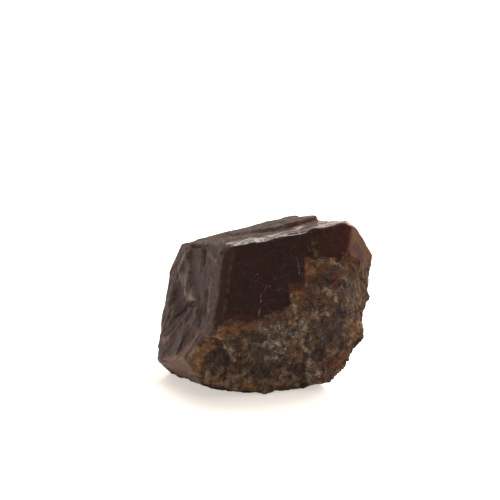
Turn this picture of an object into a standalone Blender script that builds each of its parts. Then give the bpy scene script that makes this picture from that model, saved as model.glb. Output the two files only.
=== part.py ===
"""A loose garnet crystal, 32 mm across, that rests on a small flat patch.

Its sides are the planes of a rhombic dodecahedron, with the lower part broken away. Each side is a
plane with its own relief, and the surface is the nearest side along each ray from the centre.
Lengths are in millimetres, as MM turns them into metres. The origin is the box's bottom centre.
"""

import math

import bmesh
import bpy
import numpy as np
from mathutils import Euler

MM = 0.001
NODE = "garnet_crystal"
CENTRE = (0.72, 0.12, 11.8)
LATTICE_TURN = (-5.67, 31.07, -30.58)  # degrees about X, Y and Z
CUBE_CUTS = 75                         # each cube face becomes 76 x 76 cells
TRIANGLES = 9400
STAND_DEPTH = 3.0                      # thickness of the block that cuts the resting patch

# Crystal faces: direction in the cubic lattice, distance from the centre.
GROWTH_FACES = {
    "top": ((-1, 0, 1), 9.55),
    "front": ((0, -1, 1), 11.34),
    "left": ((-1, -1, 0), 11.39),
    "upper_right": ((1, 0, 1), 15.2),
    "right_back": ((0, 1, 1), 13.35),
    "back": ((-1, 1, 0), 12.45),
    "lower_left": ((0, -1, -1), 17.55),
    "left_back": ((-1, 0, -1), 15.5),
    "lower_right_back": ((1, 1, 0), 10.1),
}
# Broken sides: outward direction, distance from the centre.
BROKEN_FACES = {
    "lower_front": ((0.195, -0.932, -0.305), 12.67),
    "bottom": ((0, 0, -1), 12.0),
    "under_back": ((-0.1, 0.4, -0.91), 13.6),
    "back_break": ((0.15, 0.968, -0.2), 14.77),
    "foot_left": ((-0.678, -0.251, -0.691), 18.25),
    "under_left": ((-0.225, -0.317, -0.921), 15.0),
    "under_right": ((0.17, -0.1, -0.98), 12.75),
    "low_right": ((0.659, -0.22, -0.719), 15.2),
    "side_right": ((0.981, -0.15, -0.12), 15.95),
}
# Share of the break's roughness on the sides near the ground; the other broken sides have all of it.
CALMER = {"bottom": 0.5, "foot_left": 0.55, "under_left": 0.55, "under_right": 0.55}
# Narrow faces that cut a corner: the three faces that meet there, their shares, the depth of the cut.
CORNER_CUTS = {
    "front_strip": (("top", "front", "left"), (0.0, 1.1, 1.0), 0.40),
    "top_chip": (("top", "front", "left"), (0.75, 0.25, 1.0), 0.55),
    "left_corner": (("top", "left", "left_back"), (0.55, 1.0, 0.95), 1.15),
    "right_corner": (("top", "front", "upper_right"), (1.0, -0.4, 0.85), 0.70),
}

# Plane axes of the sides with features: first axis along this lattice edge, origin at this corner.
EDGES = ((1, 1, 1), (1, -1, -1), (-1, 1, -1), (-1, -1, 1))
PLANE_AXES = {
    "top": (0, ("top", "front", "left")),
    "front": (0, ("top", "front", "left")),
    "left": (2, ("top", "front", "left")),
    "lower_front": (0, ("front", "left", "lower_front")),
    "upper_right": (1, ("top", "front", "upper_right")),
}

# Outlines on those planes.
FRONT_BREAK = [(-3.3, -12.4), (0.8, -13.0), (5.1, -12.5), (7.1, -10.7), (9.8, -7.7), (10.4, -5.2),
               (12.2, -5.0), (16.8, -5.8), (22, -5.8), (30, -20), (10, -30), (-10, -20)]
RIGHT_FACET = [(-1.5, -3), (0.0, 0.4), (1.0, 7.3), (3.3, 7.2), (5.0, 3.5), (5.7, 1.0), (5.2, -1.0)]
PLATEAU = [(-3.0, 14.5), (-0.5, 11.8), (2.6, 9.6), (6.0, 7.4), (10.6, 5.6), (13.4, 8.0), (16.0, 11.0),
           (18.3, 13.4), (20.3, 15.9), (21.6, 19.7), (15, 30), (-4, 30)]
WEDGE = [(10.6, 5.9), (9.3, 4.9), (4.4, 8.7), (8.2, 8.8)]
WEDGE_FOOT = (7.0, 6.0)

# Areas that are sunk (-) or raised: side, outline, height, width of the edge inside and outside.
AREAS = {
    "left_hollow": ("left", [(15.0, 4.2), (12.6, 5.6), (10.4, 6.2), (8.2, 9.2), (6.4, 9.5), (7.6, 10.6),
                             (10.6, 10.9), (13.6, 9.0)], -0.75, 1.3, 1.1),
    "cheek": ("lower_front", [(-7.0, -1.6), (-9.0, -6.5), (-8, -12), (-1.5, -11.0), (1.6, -7.4),
                              (0.8, -3.4), (-1.2, -2.0)], -1.05, 0.8, 0.6),
    "dark_pit": ("lower_front", [(-1.6, -6.3), (0.2, -3.9), (1.4, -7.8)], -0.35, 0.7, 0.4),
    "right_pit": ("lower_front", [(14.0, -4.5), (17.9, -4.6), (16.8, -8.0), (15.0, -10.2),
                                  (13.8, -7.0)], -0.45, 1.0, 0.6),
}
# Grooves (-) and ridges along a line: side, points, height, half width.
LINES = {
    "left_ridge": ("left", [(12.2, 0.3), (13.2, 2.6), (13.4, 4.4), (14.1, 5.6)], 0.30, 0.55),
    "left_slot": ("left", [(7.5, 0.9), (6.9, 2.0), (6.1, 3.2)], -0.65, 0.38),
    "left_crack": ("left", [(11.9, 0.35), (10.6, 0.25), (9.2, 0.1)], -0.45, 0.32),
    "left_furrow": ("left", [(2.2, 7.2), (1.6, 8.8), (0.7, 10.4)], -0.28, 0.50),
    "corner_notch": ("front", [(-0.2, -0.3), (-1.0, -1.1)], -0.50, 0.45),
    "top_nick": ("top", [(2.0, 1.0), (6.5, 0.9)], -0.14, 0.50),
    "streak": ("lower_front", [(1.2, -3.6), (2.3, -6.9)], 0.35, 0.45),
    "vein": ("lower_front", [(12.2, -1.8), (12.8, -5.5), (13.2, -10.5), (13.1, -12.2)], 0.30, 0.50),
    "bottom_lump": ("lower_front", [(1.8, -12.4), (5.2, -13.3)], 0.85, 1.70),
}
# Small bumps (+) and dents on the outline: place, radius, height.
KNOBS = {
    "right_bump": ((15.4, -3.2, 12.6), 0.8, 1.5),
    "right_dent": ((14.7, -3.2, 11.2), 0.7, -0.6),
    "right_bulge": ((14.9, -3.8, 8.5), 1.9, 0.8),
}
KNOB_STRETCH = np.array([1.0, 2.2, 1.0])

CORNER_OFFSETS = np.array([(i, j, k) for i in (0, 1) for j in (0, 1) for k in (0, 1)])
CELL_OFFSETS = np.array([(i, j, k) for i in (-1, 0, 1) for j in (-1, 0, 1) for k in (-1, 0, 1)])


def unit(vectors):
    """Scale vectors to length one."""
    vectors = np.asarray(vectors, dtype=float)
    return vectors / np.linalg.norm(vectors, axis=-1, keepdims=True)


def smooth_step(low, high, value):
    """0 below low, 1 above high, an S curve between."""
    t = np.clip((value - low) / (high - low), 0, 1)
    return t * t * (3 - 2 * t)


def scattered(cell, seed):
    """An even, repeatable number from 0 to 1 for each whole-number cell."""
    whole = cell.astype(np.uint32)
    value = whole[..., 0] * np.uint32(374761393) + whole[..., 1] * np.uint32(668265263)
    value = value + whole[..., 2] * np.uint32(2246822519) + np.uint32(seed * 3266489917 % 2**32)
    value = (value ^ (value >> np.uint32(15))) * np.uint32(2246822519)
    value = (value ^ (value >> np.uint32(13))) * np.uint32(3266489917)
    return (value ^ (value >> np.uint32(16))).astype(float) / 2**32


def soft_noise(points, size, seed):
    """Numbers from -1 to 1 that change smoothly over a distance of size."""
    cell = np.floor(points / size).astype(np.int64)
    part = points / size - cell
    part = part**3 * (part * (part * 6 - 15) + 10)
    total = 0
    for offset in CORNER_OFFSETS:
        share = np.prod(np.where(offset == 1, part, 1 - part), axis=-1)
        total = total + share * scattered(cell + offset, seed)
    return total * 2 - 1


def layered_noise(points, size, layers, seed):
    """Soft noise in layers, each half as large and half as strong as the last."""
    total = sum(soft_noise(points, size / 2**k, seed + k) / 2**k for k in range(layers))
    return total / sum(0.5**k for k in range(layers))


def scooped_noise(points, size, seed, bow=0.9, tilt=0.7, spread=0.5):
    """A chipped break: hollows around scattered sites that meet in sharp ridges."""
    cell = np.floor(points / size).astype(np.int64)
    lowest = np.full(len(points), 9.0)
    for offset in CELL_OFFSETS:
        near = cell + offset
        draws = [scattered(near, seed + k) for k in range(7)]
        away = points / size - near - np.stack(draws[:3], axis=-1)
        lean = np.stack(draws[3:6], axis=-1) - 0.5
        height = bow * (away**2).sum(-1) + tilt * (away * lean).sum(-1) + spread * (draws[6] - 0.5)
        lowest = np.minimum(lowest, height)
    return lowest - 0.35


def line_distance(flat, points):
    """Distance in the plane from a line through the points."""
    best = np.full(len(flat), 1e9)
    for start, end in zip(points[:-1], points[1:]):
        start = np.array(start, dtype=float)
        run = np.array(end, dtype=float) - start
        along = np.clip((flat - start) @ run / (run @ run), 0, 1)
        best = np.minimum(best, np.linalg.norm(flat - start - along[:, None] * run, axis=1))
    return best


def area_distance(flat, outline):
    """Distance in the plane from a closed outline, above 0 inside it."""
    closed = list(outline) + [outline[0]]
    inside = np.zeros(len(flat), dtype=bool)
    for (ax, ay), (bx, by) in zip(closed[:-1], closed[1:]):
        if ay != by:
            crosses = (ay > flat[:, 1]) != (by > flat[:, 1])
            inside ^= crosses & (flat[:, 0] < (bx - ax) * (flat[:, 1] - ay) / (by - ay) + ax)
    distance = line_distance(flat, closed)
    return np.where(inside, distance, -distance)


def lattice_turn():
    """The turn from the cubic lattice to the world, as a 3 x 3 array."""
    angles = [math.radians(angle) for angle in LATTICE_TURN]
    return np.array(Euler(angles, "XYZ").to_matrix())


def build_planes():
    """Outward normal and distance of every side, by name."""
    turn = lattice_turn()
    planes = {name: (unit(turn @ np.array(way)), far) for name, (way, far) in GROWTH_FACES.items()}
    planes.update({name: (unit(way), far) for name, (way, far) in BROKEN_FACES.items()})
    for name, (faces, shares, depth) in CORNER_CUTS.items():
        normal = unit(sum(planes[face][0] * share for face, share in zip(faces, shares)))
        planes[name] = (normal, normal @ corner(planes, faces) - depth)
    return planes


def corner(planes, faces):
    """The point where three sides meet."""
    normals = np.array([planes[face][0] for face in faces])
    return np.linalg.solve(normals, np.array([planes[face][1] for face in faces]))


PLANES = build_planes()
SIDES = list(PLANES)
NORMALS = np.array([PLANES[name][0] for name in SIDES])
DISTANCES = np.array([PLANES[name][1] for name in SIDES])
LATTICE_EDGES = unit(np.array(EDGES) @ lattice_turn().T)


def on_plane(points, side):
    """Coordinates of points along the two axes of a side's plane."""
    edge, corner_faces = PLANE_AXES[side]
    first = LATTICE_EDGES[edge]
    second = np.cross(PLANES[side][0], first)
    away = points - corner(PLANES, corner_faces)
    return np.stack([away @ first, away @ second], axis=-1)


def terraces(height, step, riser):
    """Turn a smooth height into flat treads of one step, with short risers."""
    level = np.floor(height / step)
    return step * (level + smooth_step(1 - riser, 1, height / step - level))


def stretched_noise(flat, direction, length, width, seed):
    """Layered noise in a plane, drawn out along a direction."""
    along = flat @ np.array(direction)
    across = flat @ np.array([direction[1], -direction[0]])
    squeezed = np.stack([along / length, across / width, np.zeros(len(flat))], axis=-1)
    return layered_noise(squeezed, 1.0, 2, seed)


def relief(points):
    """Height of each side above its plane near the points, and how broken it is there."""
    broad = layered_noise(points, 6.0, 2, 11)
    middle = layered_noise(points, 2.2, 2, 21)
    chips = scooped_noise(points, 4.2, 41)
    small_chips = scooped_noise(points, 1.7, 51)
    rough = 0.55 * broad + 0.85 * chips + 0.45 * small_chips
    weathered = 0.10 * broad + 0.05 * middle
    wobble = np.stack([0.35 * middle, 0.35 * broad], axis=-1)

    height = {name: rough * CALMER.get(name, 1.0) if name in BROKEN_FACES else weathered for name in SIDES}
    broken = {name: np.full(len(points), float(name in BROKEN_FACES)) for name in SIDES}
    flat = {name: on_plane(points, name) for name in PLANE_AXES}

    height["front"] = height["front_strip"] = np.zeros(len(points))
    add_growth_steps(height, points)
    add_top(height, flat["top"], 0.3 * middle + 0.8 * broad)
    add_left(height, flat["left"], wobble)
    add_broken_zones(height, broken, flat, rough, 0.3 * middle)
    add_features(height, flat, wobble)

    away = points[:, None] + np.array(CENTRE) - np.array([place for place, _, _ in KNOBS.values()])
    sizes = np.array([size for _, size, _ in KNOBS.values()])
    rises = np.array([rise for _, _, rise in KNOBS.values()])
    knobs = (rises * np.exp(-((away / KNOB_STRETCH) ** 2).sum(-1) / sizes**2)).sum(1)
    heights = np.stack([height[name] for name in SIDES], axis=1) + knobs[:, None]
    return heights, np.stack([broken[name] for name in SIDES], axis=1)


def add_growth_steps(height, points):
    """Low steps along a lattice edge on the faces at the back."""
    lattice = points @ LATTICE_EDGES.T
    squeezed = np.stack([lattice[:, 0] / 4, lattice[:, 1], lattice[:, 3]], axis=-1)
    for k, name in enumerate(("back", "left_back", "lower_right_back", "right_back", "lower_left")):
        height[name] = height[name] + terraces(0.4 * layered_noise(squeezed, 2.5, 2, 71 + k), 0.13, 0.3)


def add_top(height, flat, waver):
    """Terraces along the front edge, and a raised plateau with a steep end on the right."""
    near = smooth_step(7.5, 3.0, flat[:, 1])
    steps = terraces((0.42 + 0.30 * near) * stretched_noise(flat, (1, 0), 5.5, 1.25, 91), 0.18, 0.35)
    quiet = smooth_step(8.5, 11.0, flat[:, 0] - 0.55 * (flat[:, 1] - 7))
    inside = area_distance(flat, PLATEAU) + waver
    soft = 1.2 * smooth_step(8, 2, flat[:, 0])
    rise = 0.15 + 0.30 * smooth_step(-3, 5, flat[:, 0]) + 0.30 * smooth_step(5, 11, flat[:, 0])
    plateau = rise * smooth_step(-0.3, 0.15, inside / (1 + soft)) + 0.28 * smooth_step(-3.5, 0.5, inside)
    height["top"] = height["top"] + steps * (1 - 0.85 * quiet) + plateau


def add_left(height, flat, wobble):
    """Slanting striations low on the left, its rounded far edge, and a plate that juts out."""
    lower = smooth_step(8.5, 11.5, flat[:, 1] + 0.15 * flat[:, 0])
    striations = stretched_noise(flat + wobble, (0.61, 0.79), 6.0, 0.9, 101)
    beyond = smooth_step(12.6, 15.5, flat[:, 0] - 0.12 * flat[:, 1])
    plate = smooth_step(-0.15, 0.15, area_distance(flat + 0.3 * wobble, WEDGE))
    slope = smooth_step(-1.0, 3.2, (flat - np.array(WEDGE_FOOT)) @ np.array([0.55, 0.83]))
    height["left"] = height["left"] + 0.16 * lower * striations - 0.25 * beyond + 0.55 * plate * slope


def add_broken_zones(height, broken, flat, rough, waver):
    """The break that runs from the lower front up over the front face and the right side."""
    inside = area_distance(flat["front"], FRONT_BREAK) + waver
    zone = smooth_step(-0.05, 0.35, inside)
    shelf = smooth_step(9.0, 11.5, flat["front"][:, 0])
    lip = 0.03 * shelf * smooth_step(3.5, 0.0, inside) - 0.18 * (1 - shelf) * smooth_step(0, 1, inside)
    far = smooth_step(-6.0, -9.0, flat["front"][:, 1])
    share = 0.30 + (0.15 + 0.25 * far) * smooth_step(0.5, 5, inside)
    height["front"] = height["front"] + zone * (lip + share * rough)
    broken["front"] = zone

    zone = smooth_step(0.25, -0.15, area_distance(flat["upper_right"], RIGHT_FACET) + waver)
    height["upper_right"] = height["upper_right"] * (1 - zone) + zone * (0.9 * rough - 0.1)
    broken["upper_right"] = zone


def add_features(height, flat, wobble):
    """Every named area, groove and ridge on its side."""
    for side, outline, rise, inner, outer in AREAS.values():
        inside = area_distance(flat[side] + wobble, outline)
        height[side] = height[side] + rise * smooth_step(-outer, inner, inside)
    for side, points, rise, half_width in LINES.values():
        away = line_distance(flat[side] + wobble, points) / half_width
        height[side] = height[side] + rise * np.exp(-(away**2))


def side_closeness(rays, heights):
    """1 / distance along each ray to each side, so the nearest side has the largest value."""
    return (rays @ NORMALS.T) / (DISTANCES + heights)


def pull_to_edges(rays, closeness, heights, broken, reach):
    """Move rays that pass within reach of an edge onto it, unless both of its sides are broken."""
    rows = np.arange(len(rays))
    first, second = np.argsort(-closeness, axis=1)[:, :2].T
    gap = closeness[rows, first] - closeness[rows, second]
    crumbled = broken[rows, first] * broken[rows, second] > 0.5
    per_side = NORMALS[None] / (DISTANCES + heights)[:, :, None]
    slope = per_side[rows, first] - per_side[rows, second]
    slope -= (slope * rays).sum(1, keepdims=True) * rays
    steepness = np.linalg.norm(slope, axis=1) + 1e-9
    moved = unit(rays - (gap / steepness**2)[:, None] * slope)
    near = (gap / steepness < reach) & ~crumbled
    return np.where(near[:, None], moved, rays)


def worn_distance(points, closeness, broken):
    """Distance to the surface, with edges rounded a little, and far more where both sides broke."""
    wear = 0.10 + 0.10 * layered_noise(points, 3.0, 2, 111)
    wear += 0.5 * smooth_step(0.25, 0.8, layered_noise(points, 1.6, 2, 121))
    crumble = 1.6 + 0.8 * layered_noise(points, 4.0, 2, 131)
    rows = np.arange(len(points))
    nearest = np.argsort(-closeness, axis=1)[:, :3].T
    reach = 1 / closeness[rows, nearest[0]]
    for side in nearest[1:]:
        other = 1 / np.maximum(closeness[rows, side], 1e-3)
        both = broken[rows, nearest[0]] * broken[rows, side]
        width = np.maximum(wear, 0.02) + both * crumble
        overlap = np.maximum(width - np.abs(other - reach), 0) / width
        reach = np.minimum(other, reach) - overlap**2 * width / 4
    return reach


def crystal_surface(cube):
    """Points of the crystal's surface for points spread over a cube from -1 to 1."""
    rays = unit(np.tan(cube * math.pi / 4))
    cell = math.pi / 2 / (CUBE_CUTS + 1)
    reach = 1 / side_closeness(rays, np.zeros(len(SIDES))).max(1)
    for _ in range(2):
        heights, broken = relief(rays * reach[:, None])
        rays = pull_to_edges(rays, side_closeness(rays, heights), heights, broken, 0.5 * cell)
        reach = 1 / side_closeness(rays, heights).max(1)
    points = rays * reach[:, None]
    heights, broken = relief(points)
    reach = worn_distance(points, side_closeness(rays, heights), broken)
    return rays * reach[:, None] + np.array(CENTRE)


def clear_scene():
    """Start from a scene with no objects."""
    for item in list(bpy.data.objects):
        bpy.data.objects.remove(item, do_unlink=True)


def new_collection(name):
    """A collection in the scene."""
    collection = bpy.data.collections.new(name)
    bpy.context.scene.collection.children.link(collection)
    return collection


def garnet_material():
    """Dark red-brown garnet with a satin, slightly worn surface."""
    material = bpy.data.materials.new("garnet")
    material.use_nodes = True
    shader = material.node_tree.nodes["Principled BSDF"]
    shader.inputs["Base Color"].default_value = (0.045, 0.016, 0.010, 1)
    shader.inputs["Roughness"].default_value = 0.35
    shader.inputs["Metallic"].default_value = 0.0
    return material


def crystal_object(collection):
    """A cube divided into small cells, each vertex moved out to the crystal's surface."""
    form = bmesh.new()
    bmesh.ops.create_cube(form, size=2)
    bmesh.ops.subdivide_edges(form, edges=form.edges[:], cuts=CUBE_CUTS, use_grid_fill=True)
    cube = np.array([vertex.co for vertex in form.verts])
    for vertex, point in zip(form.verts, crystal_surface(cube) * MM):
        vertex.co = point
    bmesh.ops.triangulate(form, faces=form.faces[:])
    mesh = bpy.data.meshes.new(NODE)
    form.to_mesh(mesh)
    form.free()
    mesh.materials.append(garnet_material())
    crystal = bpy.data.objects.new(NODE, mesh)
    collection.objects.link(crystal)
    return crystal


def stand_cutter(collection):
    """The block below the ground plane that cuts the flat resting patch."""
    form = bmesh.new()
    bmesh.ops.create_cube(form, size=1)
    width = 4 * DISTANCES.max() * MM
    bmesh.ops.scale(form, vec=(width, width, STAND_DEPTH * MM), verts=form.verts)
    mesh = bpy.data.meshes.new("stand_cutter")
    form.to_mesh(mesh)
    form.free()
    cutter = bpy.data.objects.new("stand_cutter", mesh)
    cutter.location.z = -STAND_DEPTH * MM / 2
    cutter.hide_render = True
    cutter.display_type = "WIRE"
    collection.objects.link(cutter)
    return cutter


def main():
    """Build the crystal and cut its resting patch."""
    clear_scene()
    crystal = crystal_object(new_collection(NODE))
    simplify = crystal.modifiers.new("simplify", "DECIMATE")
    simplify.ratio = TRIANGLES / len(crystal.data.polygons)
    cut = crystal.modifiers.new("stand", "BOOLEAN")
    cut.operation = "DIFFERENCE"
    cut.solver = "EXACT"
    cut.object = stand_cutter(new_collection("cutters"))


main()
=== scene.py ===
import math

import bpy
import numpy as np
from mathutils import Euler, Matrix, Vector


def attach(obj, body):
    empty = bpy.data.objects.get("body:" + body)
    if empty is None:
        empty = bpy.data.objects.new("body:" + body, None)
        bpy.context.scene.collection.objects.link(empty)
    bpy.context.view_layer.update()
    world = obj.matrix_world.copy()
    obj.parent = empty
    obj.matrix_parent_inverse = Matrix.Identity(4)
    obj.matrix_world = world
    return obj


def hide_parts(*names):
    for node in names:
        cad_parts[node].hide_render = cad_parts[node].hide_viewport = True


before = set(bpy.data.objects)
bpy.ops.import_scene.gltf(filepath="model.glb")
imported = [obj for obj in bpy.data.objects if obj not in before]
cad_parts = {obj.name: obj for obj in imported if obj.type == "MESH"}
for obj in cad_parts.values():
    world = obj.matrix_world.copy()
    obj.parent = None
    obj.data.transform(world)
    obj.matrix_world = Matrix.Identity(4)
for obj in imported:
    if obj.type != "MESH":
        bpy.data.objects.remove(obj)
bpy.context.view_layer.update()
print("frame loaded:", list(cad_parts))

mm = 0.001

# The crystal's shape, in mm.
garnet = {
    "name": "garnet_stone",
    "node": "garnet_crystal",
    "centre": (0.72, 0.12, 11.8),  # above the middle of the resting patch
    "latticeTurn": (-5.67, 31.07, -30.58),  # degrees about X, Y and Z
    "cells": 128,  # along each side of the six grids
    "passes": 3,  # times the surface is found again from its relief
    "growthFaces": {  # direction in the cubic lattice, distance
        "top": ((-1, 0, 1), 9.55),
        "front": ((0, -1, 1), 11.34),
        "left": ((-1, -1, 0), 11.39),
        "upperRight": ((1, 0, 1), 15.2),
        "rightBack": ((0, 1, 1), 13.35),
        "back": ((-1, 1, 0), 12.45),
        "lowerLeft": ((0, -1, -1), 17.55),
        "leftBack": ((-1, 0, -1), 15.5),
        "lowerRightBack": ((1, 1, 0), 10.1),
    },
    "brokenFaces": {  # outward direction, distance
        "lowerFront": ((0.195, -0.932, -0.305), 12.67),
        "bottom": ((0, 0, -1), 12),
        "underBack": ((-0.1, 0.4, -0.91), 13.6),
        "backBreak": ((0.15, 0.968, -0.2), 14.77),
        "footLeft": ((-0.678, -0.251, -0.691), 18.25),
        "underLeft": ((-0.225, -0.317, -0.921), 15),
        "underRight": ((0.17, -0.1, -0.98), 12.75),
        "lowRight": ((0.659, -0.22, -0.719), 15.2),
        "sideRight": ((0.981, -0.15, -0.12), 15.95),
    },
    "cornerCuts": {  # faces that meet, their shares, depth of the cut
        "frontStrip": (("top", "front", "left"), (0, 1, 1.12), 0.46),
        "topChip": (("top", "front", "left"), (0.75, 0.25, 1), 0.55),
        "leftCorner": (("top", "left", "leftBack"), (0.55, 1, 0.95), 1.15),
        "rightCorner": (("top", "front", "upperRight"), (1, -0.4, 0.85), 0.7),
    },
    # share of the roughness
    "calmer": {"bottom": 0.5, "footLeft": 0.55, "underLeft": 0.55, "underRight": 0.55},
    "edgeWear": 0.1,
    "edgeChips": 0.5,
    "crumble": 1.6,  # rounding where two broken sides meet
}

# Axes in a side's plane: the first lies along this lattice edge, from this corner.
latticeEdges = ((1, 1, 1), (1, -1, -1), (-1, 1, -1), (-1, -1, 1))
planeAxes = {
    "top": (0, ("top", "front", "left")),
    "front": (0, ("top", "front", "left")),
    "left": (2, ("top", "front", "left")),
    "lowerFront": (0, ("front", "left", "lowerFront")),
    "upperRight": (1, ("top", "front", "upperRight")),
}

outlines = {
    "frontBreak": [(-3.3, -12.4), (0.8, -13), (5.1, -12.5), (7.1, -10.7), (9.8, -7.7), (10.4, -5.2),
                   (12.2, -5), (16.8, -5.8), (22, -5.8), (30, -20), (10, -30), (-10, -20)],
    "rightFacet": [(-1.5, -3), (0, 0.4), (1, 7.3), (3.3, 7.2), (5, 3.5), (5.7, 1), (5.2, -1)],
    "plateau": [(-3, 14.5), (-0.5, 11.8), (2.6, 9.6), (6, 7.4), (10.6, 5.6), (13.4, 8), (16, 11),
                (18.3, 13.4), (20.3, 15.9), (21.6, 19.7), (15, 30), (-4, 30)],
    "wedge": [(10.6, 5.9), (9.3, 4.9), (4.4, 8.7), (8.2, 8.8)],
    "calmLeft": [(12, 1.1), (10.2, 0.4), (8, 2), (6.3, 4.6), (3.8, 5.6), (1.6, 7.6), (1.2, 9.6), (3.2, 9.7),
                 (4.4, 8.8), (8.1, 6.6)],
}
wedgeFoot = (7, 6)

# Sunk (-) or raised areas: side, outline, height, width of the edge inside and outside.
areas = {
    "leftHollow": ("left", (15, 4.2), (12.6, 5.6), (10.4, 6.2), (8.2, 9.2), (6.4, 9.5), (7.6, 10.6),
                   (10.6, 10.9), (13.6, 9), -0.75, 1.3, 1.1),
    "cheek": ("lowerFront", (-7, -1.6), (-9, -6.5), (-8, -12), (-1.5, -11), (1.6, -7.4), (0.8, -3.4),
              (-1.2, -2), -1.05, 0.8, 0.6),
    "darkPit": ("lowerFront", (-1.6, -6.3), (0.2, -3.9), (1.4, -7.8), -0.35, 0.7, 0.4),
    "rightPit": ("lowerFront", (14, -4.5), (17.9, -4.6), (16.8, -8), (15, -10.2),
                 (13.8, -7), -0.45, 1, 0.6),
}
# Grooves (-) and ridges: side, points, height, half width.
lines = {
    "leftRidge": ("left", (12.2, 0.3), (13.2, 2.6), (13.4, 4.4), (14.1, 5.6), 0.3, 0.55),
    "leftSlot": ("left", (7.5, 0.9), (6.9, 2), (6.1, 3.2), -0.65, 0.38),
    "leftCrack": ("left", (11.9, 0.35), (10.6, 0.25), (9.2, 0.1), -0.45, 0.32),
    "leftFurrow": ("left", (2.2, 7.2), (1.6, 8.8), (0.7, 10.4), -0.28, 0.5),
    "flakeNotch": ("left", (-0.4, -0.1), (0.3, 0.6), (1.2, 1.4), -0.5, 0.26),
    "cornerNotch": ("front", (-0.2, -0.3), (-1, -1.1), -0.5, 0.45),
    "topNick": ("top", (2, 1), (6.5, 0.9), -0.14, 0.5),
    "streak": ("lowerFront", (1.2, -3.6), (2.3, -6.9), 0.35, 0.45),
    "vein": ("lowerFront", (12.2, -1.8), (12.8, -5.5), (13.2, -10.5), (13.1, -12.2), 0.3, 0.5),
    "bottomLump": ("lowerFront", (1.8, -12.4), (5.2, -13.3), 0.85, 1.7),
}
# Bumps (+) and dents on the outline: place, radius, height.
knobs = {
    "rightBump": ((15.4, -3.2, 12.6), 0.9, 1),
    "rightDent": ((14.7, -3.2, 11.2), 0.7, -0.6),
    "rightBulge": ((14.9, -3.8, 8.5), 1.9, 0.8),
}
knobStretch = np.array([1, 2.2, 1])

# The lattice edge that the striations of each face at the back follow.
growthEdges = {"back": 0, "leftBack": 1, "lowerRightBack": 2, "rightBack": 3, "lowerLeft": 2}

# Detail too fine for the solid.
leftScoops = ((1.9, 1.8, 0.24, 301), (0.8, 2, 0.07, 311))  # size, stretch, height, seed
striationWay = (0.61, 0.79)  # of the left side's striations
fineRelief = {"scoopSize": 0.75, "scoopHeight": 0.26, "grainSize": 0.42, "grainHeight": 0.09}
# Ledges on the top: start and end along its front edge, distance back from it, drop, width, seed.
topLips = (
    (-1.5, 17, 0, 0.17, 0.32, 311),
    (-0.8, 4.2, 1.6, 0.12, 0.26, 321),
    (4, 9.2, 3, 0.13, 0.28, 331),
    (8.6, 12.6, 4.2, 0.12, 0.26, 341),
    (3.6, 8.2, 5.6, 0.11, 0.26, 351),
)
# One-sided ridges on the left face: points, height at the line, width of the fall to its right.
leftScarps = (
    ((12.6, 0.6), (10.6, 3.2), (8.1, 6.6), (4.4, 8.8), 0.34, 1.5),
    ((4.4, 8.8), (6, 9.1), (7.9, 8.9), -0.3, 0.9),
    ((12.9, 0.9), (13.6, 1.9), (13.9, 3.2), (14.5, 4.9), 0.22, 0.9),
    ((5.2, 9.4), (6.6, 9.3), (7.4, 9.6), (8.2, 10.3), (9.8, 11.2), -0.34, 1.2),
    ((4.8, 10), (6.9, 12.2), (9.4, 14.6), 0.2, 0.8),
    ((7, 9.9), (8.6, 12), (11.8, 14.4), 0.22, 0.9),
    ((2.6, 11.2), (4, 13.6), (5.4, 16.4), 0.18, 0.8),
    ((13.6, 8.6), (12.4, 10.6), (12.8, 12.6), 0.2, 1),
    ((4.2, 9.6), (3.2, 9.9), (2.7, 11.6), 0.15, 0.6),
    ((9.6, 0.6), (7.4, 1), (6.9, 2.2), (6.4, 3.7), 0.16, 0.7),
)

cornerOffsets = np.array([(i, j, k) for i in (0, 1) for j in (0, 1) for k in (0, 1)])
cellOffsets = np.array([(i, j, k) for i in (-1, 0, 1) for j in (-1, 0, 1) for k in (-1, 0, 1)])


# each vector divided by its length
def unit(vectors):
    vectors = np.asarray(vectors, dtype=float)
    return vectors / np.linalg.norm(vectors, axis=-1, keepdims=True)


# 0 below low, 1 above high, and the curve 3t^2 - 2t^3 between
def ease(low, high, value):
    t = np.clip((value - low) / (high - low), 0, 1)
    return t * t * (3 - 2 * t)


# an even number from 0 to 1 for each whole-number cell, from its mixed bits
def scattered(cell, seed):
    whole = cell.astype(np.uint32)
    value = whole[..., 0] * np.uint32(374761393) + whole[..., 1] * np.uint32(668265263)
    value = value + whole[..., 2] * np.uint32(2246822519) + np.uint32(seed * 3266489917 % 2**32)
    value = (value ^ (value >> np.uint32(15))) * np.uint32(2246822519)
    value = (value ^ (value >> np.uint32(13))) * np.uint32(3266489917)
    return (value ^ (value >> np.uint32(16))).astype(float) / 2**32


# a random value at each corner of a cubic grid, blended by 6t^5 - 15t^4 + 10t^3, from -1 to 1
def softNoise(points, size, seed):
    cell = np.floor(points / size).astype(np.int64)
    part = points / size - cell
    part = part**3 * (part * (part * 6 - 15) + 10)
    total = 0
    for offset in cornerOffsets:
        share = np.prod(np.where(offset == 1, part, 1 - part), axis=-1)
        total = total + share * scattered(cell + offset, seed)
    return total * 2 - 1


# soft noise summed, each layer half as large and half as strong as the last
def layeredNoise(points, size, layers, seed):
    total = sum(softNoise(points, size / 2**k, seed + k) / 2**k for k in range(layers))
    return total / sum(0.5**k for k in range(layers))


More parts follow.
